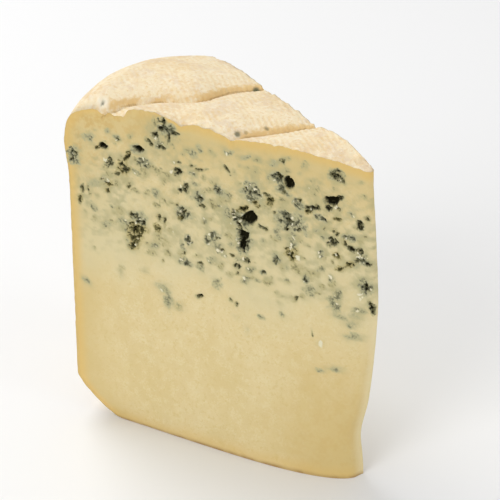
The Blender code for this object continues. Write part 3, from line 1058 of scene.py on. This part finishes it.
@dataclass(frozen=True)
class CutFinish:
    """The cut: waxy paste from cream to gold, grey-green stain, white curd with painted glints, mould from
    blue to black, painted shade low by the nose and along the foot, and a painted highlight along the nose's
    edge.
    """

    groups: ShaderGroups
    cream: Colour = linear(226, 207, 156)
    gold: Colour = linear(216, 193, 132)
    # pale also paints a highlight along the nose's edge
    pale: Colour = linear(232, 217, 172)
    # ripe and ember: riper paste, and also painted shade low on the front cut by the nose
    ripe: Colour = linear(214, 190, 128)
    ember: Colour = linear(208, 174, 106)
    haze: Colour = linear(220, 208, 164)
    stain: Colour = linear(178, 171, 126)
    band: Colour = linear(224, 190, 114)
    # Painted contact shade: a brown line along the cut's foot, where it meets the floor
    painted_foot_shade: Colour = linear(176, 140, 86)
    # White curd, its paleness partly a painted glint of wet curd
    curd: Colour = linear(230, 223, 192)
    stages: tuple[MouldStage, ...] = (
        MouldStage(0.04, 0.34, linear(184, 179, 140), linear(188, 173, 118)),
        MouldStage(0.26, 0.64, linear(124, 124, 98), linear(116, 109, 64)),
        MouldStage(0.56, 0.94, linear(27, 26, 16), linear(34, 31, 12)),
    )
    patches: Mottle = Mottle(0.020, 0.3, 0.36, 0.72, 0.55)
    clouds: Mottle = Mottle(0.0030, 0.8, 0.42, 0.74, 0.6)
    dots: Mottle = Mottle(0.0015, 0.7, 0.48, 0.78, 0.75)
    embers: Mottle = Mottle(0.0052, 0.7, 0.40, 0.66, 0.85)
    curd_edge: Mottle = Mottle(0.0006, 0.3, 0.30, 0.75)
    grain_size: float = 0.0011
    grain_fine: float = 0.35
    speck_scale: float = 1400.0
    speck_swing: float = 0.8
    stain_scale: float = 520.0
    stain_swing: float = 1.3
    ripe_share: float = 0.8
    haze_share: float = 0.8
    roughness: float = 0.36
    rough_scale: float = 900.0
    rough_swing: float = 0.16
    mould_roughness: float = 0.4

    def group(self) -> bpy.types.NodeTree:
        """The cut's colour, roughness and fine relief, which the paste and the mould share."""
        outputs = {"Color": "Color", "Roughness": "Float", "Height": "Float"}
        nodes, given, out = new_group("cheese_cut", {"Place": None}, outputs)
        place = given["Place"]
        mould = nodes.attribute("mould")
        specks = nodes.swing(nodes.noise(place, self.speck_scale), self.speck_swing)
        dark = nodes.math("ADD", mould, nodes.times(specks, nodes.ramp(mould, 0.08, 0.3)))
        nodes.feed(out["Color"], self._mould(nodes, place, self._paste(nodes, place), dark))
        uneven = nodes.times(nodes.noise(place, self.rough_scale), self.rough_swing)
        rough = nodes.math("ADD", uneven, self.roughness)
        dull = nodes.times(nodes.ramp(dark, 0.2, 0.7), self.mould_roughness)
        nodes.feed(out["Roughness"], nodes.math("ADD", rough, dull, clamp=True))
        grain = {"Place": place, "Size": self.grain_size, "Fine": self.grain_fine}
        nodes.feed(out["Height"], nodes.placed(self.groups.grain, grain))
        return nodes.tree

    def materials(self) -> tuple[Material, Material]:
        """The paste and the dark mould, which differ in how they take the light."""
        group = self.group()
        made = []
        for name, specular, scatter in (("cut_paste", 0.32, 0.15), ("dark_mould", 0.05, 0.0)):
            sheen = Sheen(specular, scatter, (1.0, 0.72, 0.36), bump=0.25, bump_depth=0.0003)
            material, nodes, shader = sheen.material(name)
            place = nodes.add("TexCoord").outputs["Object"]
            cut = nodes.add("Group", {"Place": place}, node_tree=group).outputs
            sheen.dress(nodes, shader, cut["Color"], cut["Roughness"], cut["Height"])
            made.append(material)
        return made[0], made[1]

    def _paste(self, nodes: Nodes, place: Socket) -> Socket:
        """Colour of the paste without its mould."""
        layers = (self.patches, self.clouds, self.dots, self.embers)
        patches, clouds, dots, embers = (layer.mask(nodes, self.groups, place) for layer in layers)
        veil = nodes.attribute("veil")
        cloudy = nodes.swing(nodes.noise(place, self.stain_scale, 3.0), self.stain_swing)
        return nodes.coats(
            self.cream,
            (patches, self.gold),
            (clouds, self.pale),
            (dots, self.gold),
            # Riper paste; low by the nose this is painted shade, and the ember coat carries that shade
            # faintly too
            (nodes.times(nodes.attribute("ripe"), self.ripe_share), self.ripe),
            (nodes.times(nodes.attribute("ember"), embers), self.ember),
            (nodes.times(nodes.attribute("haze"), self.haze_share), self.haze),
            (nodes.math("ADD", veil, nodes.times(cloudy, veil), clamp=True), self.stain),
            (nodes.attribute("rim"), self.band),
            # Painted highlight along the nose's edge, in the pale colour
            (nodes.attribute("lip"), self.pale),
            # Painted contact shade along the foot
            (nodes.attribute("foot"), self.painted_foot_shade),
        )

    def _mould(self, nodes: Nodes, place: Socket, colour: Socket, dark: Socket) -> Socket:
        """Colour with mould over the paste, from bloom through blue or olive to black, and white curd partly
        painted as glints.
        """
        olive = nodes.attribute("olive")
        for stage in self.stages:
            tint = nodes.coats(stage.cool, (olive, stage.warm))
            colour = nodes.coats(colour, (nodes.ramp(dark, stage.low, stage.high), tint))
        # White curd, partly painted glints
        return nodes.coats(colour, (self.curd_edge.mask(nodes, self.groups, place, "curd"), self.curd))


@dataclass(frozen=True)
class RindFinish:
    """The rind: dry and creamy, with tan patches, pale bloom, and painted shade along and beside its creases.
    """

    groups: ShaderGroups
    cream: Colour = linear(236, 219, 184)
    tan: Colour = linear(226, 197, 146)
    bloom: Colour = linear(243, 233, 209)
    rose: Colour = linear(220, 200, 176)
    # gold: painted shade on the crown beside each crease, and a golden tone towards the foot of the wall
    gold: Colour = linear(222, 190, 134)
    # crease: painted shade along each crease
    crease: Colour = linear(184, 153, 106)
    spot: Colour = linear(84, 92, 72)
    patches: Mottle = Mottle(0.014, 0.45, 0.46, 0.72, 0.6)
    blushes: Mottle = Mottle(0.007, 0.45, 0.46, 0.66, 0.5)
    blooms: Mottle = Mottle(0.0020, 0.45, 0.46, 0.70, 0.5)
    pores: Mottle = Mottle(0.0012, 0.45, 0.50, 0.72, 0.8)
    # These two break the edges of the painted crease shade and of the golden tone
    gold_edge: Mottle = Mottle(0.0016, 1.1, 0.35, 0.95)
    crease_shade_edge: Mottle = Mottle(0.0012, 0.8, 0.3, 1.1)
    sheen: Sheen = Sheen(0.3, 0.08, (1.0, 0.7, 0.4), bump=0.35, bump_depth=0.0004)
    grain_size: float = 0.0009
    grain_fine: float = 0.4
    ripple_share: float = 0.42
    roughness: float = 0.62
    rough_scale: float = 500.0
    rough_swing: float = 0.2

    def material(self) -> Material:
        """The material."""
        made, nodes, shader = self.sheen.material("dry_rind")
        place = nodes.add("TexCoord").outputs["Object"]
        uneven = nodes.times(nodes.noise(place, self.rough_scale), self.rough_swing)
        rough = nodes.math("ADD", uneven, self.roughness)
        grain = {"Place": place, "Size": self.grain_size, "Fine": self.grain_fine}
        height = nodes.placed(self.groups.grain, grain)
        self.sheen.dress(nodes, shader, self._colour(nodes, place), rough, height)
        return made

    def _colour(self, nodes: Nodes, place: Socket) -> Socket:
        """Colour of the rind."""
        ripple = nodes.times(nodes.ramp(nodes.attribute("ripple"), 0.25, 0.9), self.ripple_share)
        return nodes.coats(
            self.cream,
            (self.patches.mask(nodes, self.groups, place), self.tan),
            (self.blushes.mask(nodes, self.groups, place), self.rose),
            (self.blooms.mask(nodes, self.groups, place), self.bloom),
            (ripple, self.tan),
            (self.pores.mask(nodes, self.groups, place), self.tan),
            # Painted shade beside each crease on the crown, and gold towards the foot of the wall
            (self.gold_edge.mask(nodes, self.groups, place, "gold"), self.gold),
            # Painted shade along each crease
            (self.crease_shade_edge.mask(nodes, self.groups, place, "crease"), self.crease),
            (nodes.attribute("pale"), self.bloom),
            (nodes.attribute("spot"), self.spot),
        )


# ---------------------------------------------------------------------------------------- the wedge


@dataclass(frozen=True)
class RindSpot:
    """A spot of mould on the crown.

    Attributes:
        x: Its place in plan, in millimetres.
        y: The same.
        radius: Its radius.
        strength: How dark it is.
        halo: Radius of the pale bloom round it, or 0 for none.
    """

    x: float
    y: float
    radius: float
    strength: float
    halo: float = 0.0


@dataclass
class WedgeSkin:
    """The whole wedge as one closed skin.

    Attributes:
        wheel: Sizes of the wedge.
        mould: Where the mould is.
        steps: Steps of the coarse lattice along, across and up.
        band: Heights between which the cuts are fine.
        dull_from: How dark mould is where it has no gloss.
        crease_reach: How near a crease the crown is finest, in millimetres.
        ripple_pitch: Width of the rind's ripples, which run square to the creases.
        ripple_depth: Depth of the ripples, in millimetres; the next three are depths too.
        lump_depth: Of wide lumps in the rind.
        crease_depth: Of a crease, below what the arches of the crown give it.
        spot_depth: Of a spot of mould.
        rind_rise: How far the rind stands out before its relief is cut in.
        crown_from: Height over which rind is the crown's.
        notches: Depth, place along X and spread of each chip in the crown's front edge.
        ledges: Depth of each long chip there, and where it starts, is full, fades and ends.
        spots: Spots of mould on the crown.
        fields: Masks that the finishes read, one value for each vertex.
    """

    wheel: Wheel
    mould: MouldMap
    steps: tuple[int, int, int] = (84, 26, 96)
    band: tuple[float, float] = (66.0, 130.0)
    dull_from: float = 0.55
    crease_reach: float = 2.4
    ripple_pitch: float = 1.9
    ripple_depth: float = 0.16
    lump_depth: float = 0.2
    crease_depth: float = 0.4
    spot_depth: float = 0.3
    rind_rise: float = 0.3
    crown_from: float = 90.0
    notches: tuple[tuple[float, ...], ...] = ((1.8, -68.0, 4.0), (-1.2, -94.6, 1.9))
    ledges: tuple[tuple[float, ...], ...] = (
        (-0.5, -87.5, -84.5, -77.5, -75.0),
        (2.2, -111.0, -107.0, -89.0, -86.5),
    )
    spots: tuple[RindSpot, ...] = (
        RindSpot(-97.6, 2.6, 0.6, 0.8, halo=2.0),
        RindSpot(-48.4, 2.6, 0.95, 0.8),
        RindSpot(-46.2, 4.6, 0.6, 0.35),
        RindSpot(-41.0, 10.0, 0.8, 0.6),
        RindSpot(-55.3, 35.6, 1.2, 0.9),
    )
    cut_swell: Noise = Noise(14.0, 41, 0.16)
    cut_grain: Noise = Noise(3.2, 42, 0.06)
    stained_grain: Noise = Noise(1.3, 43, 0.16)
    ripple_bend: Noise = Noise(11.0, 51, 1.1)
    ripple_fade: Noise = Noise(6.0, 52)
    pebbles: Noise = Noise(2.4, 53, 0.16, 3)
    lumps: Noise = Noise(17.0, 54)
    crease_wave: Noise = Noise(6.0, 55, 0.7)
    crease_fray: Noise = Noise(1.4, 58, 0.25)
    crease_breaks: Noise = Noise(7.0, 57)
    spot_edge: Noise = Noise(1.4, 56, 0.35)
    band_wave: Noise = Noise(9.0, 61, 0.7)
    ripe_wave: Noise = Noise(16.0, 62, 4.0)
    nose_wave: Noise = Noise(13.0, 63, 5.0)
    foot_breaks: Noise = Noise(2.6, 64)
    chips: Noise = Noise(2.8, 71)
    chip_grain: Noise = Noise(1.3, 72, 0.30)
    chip_sway: Noise = Noise(2.0, 73)
    fields: dict[str, Array] = field(default_factory=dict)

    def build(self, finishes: tuple[Material, ...]) -> bpy.types.Object:
        """Build the skin.

        Args:
            finishes: Materials of the paste, the rind and the dark mould.

        Returns:
            The new object, in metres, in the frame's place.
        """
        bm = self._cube()
        self._refine(bm)
        mesh = bpy.data.meshes.new("cheese_wedge_skin")
        bm.to_mesh(mesh)
        bm.free()
        lattice = rows(mesh.vertices, "co")
        on_cut = self._is_cut(rows(mesh.polygons, "center"))
        places = self.wheel.points(lattice)
        self._place(mesh, places)
        moved = self._relief(lattice, places, rows(mesh.vertex_normals, "vector"))
        low, high = (np.array(corner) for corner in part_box(NODE))
        least, most = moved.min(axis=0), moved.max(axis=0)
        larger = most - least - (high - low) / MM
        LOG.info("relief: the skin is %s mm larger than the solid", np.round(larger, 2))
        self._place(mesh, low + (moved - least) * (high - low) / (most - least))
        self._dress(mesh, on_cut, finishes)
        mesh.shade_smooth()
        piece = bpy.data.objects.new("cheese_wedge_skin", mesh)
        bpy.context.scene.collection.objects.link(piece)
        return piece

    @staticmethod
    def _place(mesh: Mesh, places: Array) -> None:
        """Move a mesh's vertices to places."""
        mesh.vertices.foreach_set("co", places.astype(np.float32).ravel())
        mesh.update()

    def _cube(self) -> bmesh.types.BMesh:
        """The six sides of the coarse lattice, in lattice shares, facing inward as the wedge mirrors it."""
        bm = bmesh.new()
        verts: dict[tuple[int, ...], bmesh.types.BMVert] = {}

        def vert(index: tuple[int, ...]) -> bmesh.types.BMVert:
            """The vertex at a lattice index."""
            if index not in verts:
                verts[index] = bm.verts.new([i / n for i, n in zip(index, self.steps)])
            return verts[index]

        for fixed in range(3):
            first, second = [axis for axis in range(3) if axis != fixed]
            for level in (0, self.steps[fixed]):
                for a, b in np.ndindex(self.steps[first], self.steps[second]):
                    indices = [[a, b], [a + 1, b], [a + 1, b + 1], [a, b + 1]]
                    for index in indices:
                        index.insert(fixed, level)
                    bm.faces.new([vert(tuple(index)) for index in indices])
        bmesh.ops.recalc_face_normals(bm, faces=bm.faces)
        bmesh.ops.reverse_faces(bm, faces=bm.faces)
        return bm

    def _refine(self, bm: bmesh.types.BMesh) -> None:
        """Split faces where the relief is fine: once over the mould's band and crown, twice in pockets."""
        for margin in (1.0, 0.4):
            bm.faces.ensure_lookup_table()
            centres = np.array([face.calc_center_median() for face in bm.faces])
            places = self.wheel.points(centres)
            cut, crown = self._is_cut(centres), centres[:, 2] > 1.0 - EDGE
            wanted = cut & self.mould.nearness(places, margin)
            if margin == 1.0:
                wanted |= crown | cut & (places[:, 2] > self.band[0]) & (places[:, 2] < self.band[1])
            else:
                wanted |= crown & self._by_crease(places)
            edges = {edge for face, chosen in zip(bm.faces, wanted) if chosen for edge in face.edges}
            bmesh.ops.subdivide_edges(bm, edges=list(edges), cuts=1, use_grid_fill=True)

    def _by_crease(self, places: Array) -> Array:
        """True within reach of a crease."""
        distance = self.wheel.by_creases(places)[1]
        edges = np.array(self.wheel.band_edges[1:-1])
        return np.abs(distance[:, None] - edges).min(axis=1) < self.crease_reach

    @staticmethod
    def _is_cut(lattice: Array) -> Array:
        """True on the front cut, the back cut and the nose."""
        return (lattice[:, 1] < EDGE) | (lattice[:, 1] > 1.0 - EDGE) | (lattice[:, 0] < EDGE)

    def _relief(self, lattice: Array, places: Array, normals: Array) -> Array:
        """Give the skin its relief, and keep the masks that the finishes read.

        Args:
            lattice: Lattice shares of each vertex.
            places: Its place on the plain wedge.
            normals: Its normal there.

        Returns:
            The place of each vertex with its relief.
        """
        cut = self._is_cut(lattice)
        along, _, up = lattice.T
        base, rind = up < EDGE, (up > 1.0 - EDGE) | (along > 1.0 - EDGE)
        self.fields = {name: np.where(cut, values, 0.0) for name, values in self.mould.fields(places).items()}
        depth = self.fields.pop("depth")
        depth += np.where(cut, self.cut_swell.at(places) + self.cut_grain.at(places), 0.0)
        depth += self.fields["veil"] * self.stained_grain.at(places)
        depth += np.where(rind, self._rind_relief(places, rind), 0.0)
        self._edge_masks(lattice, places, cut)
        moved = places - normals * np.where(base, 0.0, depth)[:, None]
        moved += self._edge_chips(lattice, places)
        moved[:, 2] = np.where(base, 0.0, np.maximum(moved[:, 2], 0.0))
        return moved

    def _rind_relief(self, places: Array, rind: Array) -> Array:
        """Depth of the rind's ripples, lumps, creases and spots, whose masks it keeps, with the painted shade
        along and beside the creases.

        Args:
            places: Place of each vertex on the plain wedge.
            rind: True on the rind.

        Returns:
            The depth at each vertex, as if all were on the rind.
        """
        sideways, distance = self.wheel.by_creases(places)
        turns = (sideways + self.ripple_bend.at(places)) / self.ripple_pitch
        ripple = 0.5 + 0.5 * np.sin(turns * 2.0 * math.pi)
        ripple *= smooth(self.ripple_fade.at(places), -0.45, 0.25)
        lump = self.lumps.at(places)
        crown = rind & (places[:, 2] > self.crown_from)
        ragged = distance + self.crease_wave.at(places) + self.crease_fray.at(places)
        broken = 0.35 + 0.65 * smooth(self.crease_breaks.at(places), -0.5, 0.35)
        # Painted shade: a dark line along each crease and a golden band on the slope beside it; the same gold
        # tints the wall towards its foot
        crease, line, gold = np.zeros((3, len(places)))
        for edge in self.wheel.band_edges[1:-1]:
            from_edge = ragged - edge
            crease = np.maximum(crease, hump(from_edge, 0.3, 1.0))
            line = np.maximum(line, hump(from_edge, 0.2, 0.55))
            gold = np.maximum(gold, smooth(from_edge, -0.4, 0.4) * smooth(from_edge, 5.5, 1.0))
        low = 0.75 * smooth(places[:, 2] + 5.0 * lump, 30.0, 4.0)
        spot, pale = self._spots(places)
        self.fields["ripple"] = np.where(rind, ripple, 0.0)
        self.fields["gold"] = np.where(crown, gold, low) * broken
        for name, values in (("crease", line * broken), ("spot", spot), ("pale", pale)):
            self.fields[name] = np.where(crown, values, 0.0)
        depth = self.ripple_depth * ripple + self.pebbles.at(places) + self.lump_depth * lump - self.rind_rise
        return depth + np.where(crown, self.crease_depth * crease + self.spot_depth * spot, 0.0)

    def _spots(self, places: Array) -> tuple[Array, Array]:
        """Masks of the crown's dark spots and of the pale bloom round them."""
        spot, pale = np.zeros((2, len(places)))
        ragged = 1.0 + self.spot_edge.at(places)
        for mark in self.spots:
            away = np.hypot(places[:, 0] - mark.x, places[:, 1] - mark.y) * ragged
            spot = np.maximum(spot, mark.strength * smooth(away, 1.4 * mark.radius, 0.5 * mark.radius))
            if mark.halo:
                pale = np.maximum(pale, 0.8 * smooth(away, 1.3 * mark.halo, 0.5 * mark.halo))
        return spot, pale

    def _below(self, lattice: Array, places: Array) -> Array:
        """How far places are below the crown over them."""
        over = np.column_stack((lattice[:, :2], np.ones(len(lattice))))
        return self.wheel.points(over)[:, 2] - places[:, 2]

    def _edge_masks(self, lattice: Array, places: Array, cut: Array) -> None:
        """Keep the masks of the golden band under the rind, of riper paste with painted shade low by the
        nose, and of the pale painted highlight along the nose's edge and the brown painted contact shade
        along the foot.

        Args:
            lattice: Lattice shares of each vertex.
            places: Its place on the plain wedge.
            cut: True on the cuts.
        """
        along, across, up = lattice.T
        height, below = places[:, 2], self._below(lattice, places)
        wall = self.wheel.points(np.column_stack((np.ones_like(along), across, up)))
        out = np.hypot(wall[:, 0] - places[:, 0], wall[:, 1] - places[:, 1])
        from_nose = along * self.wheel.radius
        wobble = self.band_wave.at(places)
        under = smooth(below + wobble, 4.6, 0.4) * (1.0 - 0.6 * smooth(along, 0.62, 0.78))
        inside = smooth(out + wobble, 5.0, 0.4)
        low_glow = 0.5 * smooth(height + 2.0 * wobble, 7.0, 1.0)
        ripe = smooth(np.minimum(below, out) + self.ripe_wave.at(places), 22.0, 2.0)
        # Painted shade: the low front cut by the nose, which turns away from the key light, darkened with the
        # riper colours
        corner = smooth(from_nose + self.nose_wave.at(places), 42.0, 6.0) * smooth(height, 66.0, 12.0)
        ember = ripe * smooth(along, 0.55, 0.95) * smooth(height, 78.0, 104.0)
        broken = 0.55 + 0.45 * smooth(self.foot_breaks.at(places), -0.3, 0.3)
        # Painted highlight: a pale strip along the nose's edge in its lower part, where light catches it
        lip = smooth(from_nose + 0.5 * wobble, 1.7, 0.0) * smooth(height, 80.0, 60.0)
        masks = {
            "rim": np.maximum(0.85 * np.maximum(under, inside), low_glow),
            # Riper paste near the rind, with painted shade low by the nose; the embers carry that shade
            # faintly too
            "ripe": np.maximum(ripe, 1.2 * corner),
            "ember": np.maximum(ember, 0.3 * corner),
            # Painted contact shade along the foot, broken in places
            "foot": broken * smooth(height + 0.4 * wobble, 1.5, 0.2),
            # Painted highlight along the nose's edge
            "lip": 0.6 * lip * (across < 0.5),
        }
        for name, values in masks.items():
            self.fields[name] = np.where(cut, values, 0.0)

    def _edge_chips(self, lattice: Array, places: Array) -> Array:
        """Moves that break the crown's front and back edges."""
        along, across, _ = lattice.T
        arc = self.wheel.opening * self.wheel.radius * np.maximum(along, 0.02)
        inward = np.minimum(across, 1.0 - across) * arc
        close = hump(self._below(lattice, places), 0.0, 4.0) * hump(inward, 0.0, 3.0)
        front = across < 0.5
        plan, x = places * (1.0, 1.0, 0.0), places[:, 0]
        chip = 0.8 * np.clip(self.chips.at(plan) - 0.05, 0.0, 1.0) + self.chip_grain.at(plan)
        for depth, place, spread in self.notches:
            chip += depth * hump(x, place, spread) * front
        for depth, start, full, fade, end in self.ledges:
            chip += depth * smooth(x, start, full) * smooth(x, end, fade) * front
        sway = 0.5 * np.clip(self.chip_sway.at(plan), -0.2, 1.0) * np.where(front, 1.0, -1.0)
        return np.column_stack((np.zeros(len(places)), sway * close, -chip * close))

    def _dress(self, mesh: Mesh, on_cut: Array, finishes: tuple[Material, ...]) -> None:
        """Write the masks to the mesh, and give its faces their finishes.

        Args:
            mesh: The skin's mesh.
            on_cut: True for each face on a cut.
            finishes: Materials of the paste, the rind and the dark mould.
        """
        for name, values in self.fields.items():
            mesh.attributes.new(name, "FLOAT", "POINT").data.foreach_set("value", values.astype(np.float32))
        for finish in finishes:
            mesh.materials.append(finish)
        corners, starts = np.zeros(len(mesh.loops), np.int32), np.zeros(len(mesh.polygons), np.int32)
        mesh.loops.foreach_get("vertex_index", corners)
        mesh.polygons.foreach_get("loop_start", starts)
        dull = np.minimum.reduceat(self.fields["mould"][corners], starts) > self.dull_from
        finish = np.where(on_cut, np.where(dull, 2, 0), 1)
        mesh.polygons.foreach_set("material_index", finish.astype(np.int32))
        mesh.update()


# ---------------------------------------------------------------------------------------- the stage


@dataclass(frozen=True)
class Lamp:
    """A round area light aimed at the object.

    Attributes:
        name: What it is called.
        azimuth: Its heading, in degrees from the front towards +X.
        elevation: Its angle over the ground, in degrees.
        distance: Its distance from the object's middle, in metres.
        size: Its width.
        power: Its power, in watts.
    """

    name: str
    azimuth: float
    elevation: float
    distance: float
    size: float
    power: float


@dataclass(frozen=True)
class Studio:
    """Floor, lights and camera.

    Attributes:
        azimuth: The camera's heading, in degrees from the front towards +X.
        elevation: Its angle over the ground.
        distance: Its distance from the object's middle, in metres.
        lens: Its focal length, in millimetres.
        floor_reach: How far the floor reaches each way, in metres.
        floor_grey: How light the floor is.
        surround: Strength of the white surround.
        lamps: A soft key from high on the left and behind, and two fills.
    """

    azimuth: float = 23.0
    elevation: float = 28.5
    distance: float = 0.778
    lens: float = 160.0
    floor_reach: float = 6.0
    floor_grey: float = 0.86
    surround: float = 0.55
    lamps: tuple[Lamp, ...] = (
        Lamp("key", -120.0, 52.0, 1.2, 0.7, 6.8),
        Lamp("fill", -14.0, 34.0, 1.5, 0.8, 7.0),
        Lamp("side", 84.0, 22.0, 1.5, 0.8, 3.0),
    )

    def build(self, low: Vector, high: Vector) -> None:
        """Set the stage round the object.

        Args:
            low: Lowest corner of the object.
            high: Its highest corner.
        """
        centre = (low + high) / 2.0
        self._floor()
        for lamp in self.lamps:
            light = bpy.data.lights.new(lamp.name, "AREA")
            light.shape = "DISK"
            light.size = lamp.size
            light.energy = lamp.power
            self._aimed(lamp.name, light, centre, lamp)
        world = bpy.data.worlds.new("surround")
        world.use_nodes = True
        background = world.node_tree.nodes["Background"].inputs
        background["Color"].default_value = (1.0, 1.0, 1.0, 1.0)
        background["Strength"].default_value = self.surround
        camera = bpy.data.cameras.new("camera")
        camera.lens = self.lens
        scene = bpy.context.scene
        scene.world = world
        scene.camera = self._aimed("camera", camera, centre, self)
        scene.view_settings.view_transform = "Standard"

    @staticmethod
    def _aimed(name: str, data: bpy.types.ID, centre: Vector, view: Lamp | Studio) -> bpy.types.Object:
        """A light or camera set down where a view says, looking at the object's middle.

        Args:
            name: What it is called.
            data: The light or the camera.
            centre: The object's middle.
            view: What holds its azimuth, elevation and distance.

        Returns:
            The new object.
        """
        turn, rise = math.radians(view.azimuth), math.radians(view.elevation)
        back = Vector((math.sin(turn) * math.cos(rise), -math.cos(turn) * math.cos(rise), math.sin(rise)))
        made = bpy.data.objects.new(name, data)
        made.location = centre + back * view.distance
        made.rotation_mode = "QUATERNION"
        made.rotation_quaternion = (-back).to_track_quat("-Z", "Y")
        bpy.context.scene.collection.objects.link(made)
        return made

    def _floor(self) -> None:
        """A wide pale floor."""
        bm = bmesh.new()
        bmesh.ops.create_grid(bm, x_segments=1, y_segments=1, size=self.floor_reach)
        mesh = bpy.data.meshes.new("floor")
        bm.to_mesh(mesh)
        bm.free()
        floor = bpy.data.objects.new("floor", mesh)
        bpy.context.scene.collection.objects.link(floor)
        made = bpy.data.materials.new("pale_floor")
        made.use_nodes = True
        shader = made.node_tree.nodes["Principled BSDF"].inputs
        shader["Base Color"].default_value = (self.floor_grey, self.floor_grey, self.floor_grey, 1.0)
        shader["Roughness"].default_value = 0.6
        mesh.materials.append(made)
        floor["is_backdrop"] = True


def main() -> None:
    """Build the cheese and its stage, and note the sizes of the solid and of the looks."""
    logging.basicConfig(level=logging.INFO, format="%(message)s")
    for item in list(bpy.data.objects):
        bpy.data.objects.remove(item, do_unlink=True)
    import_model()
    groups = ShaderGroups()
    paste, mould = CutFinish(groups).materials()
    wheel = Wheel()
    piece = WedgeSkin(wheel, MouldMap(wheel)).build((paste, RindFinish(groups).material(), mould))
    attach(piece, BODY)
    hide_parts(NODE)
    LOG.info("skin: %d vertices, %d faces", len(piece.data.vertices), len(piece.data.polygons))
    Studio().build(*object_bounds())


if __name__ == "__main__":
    main()
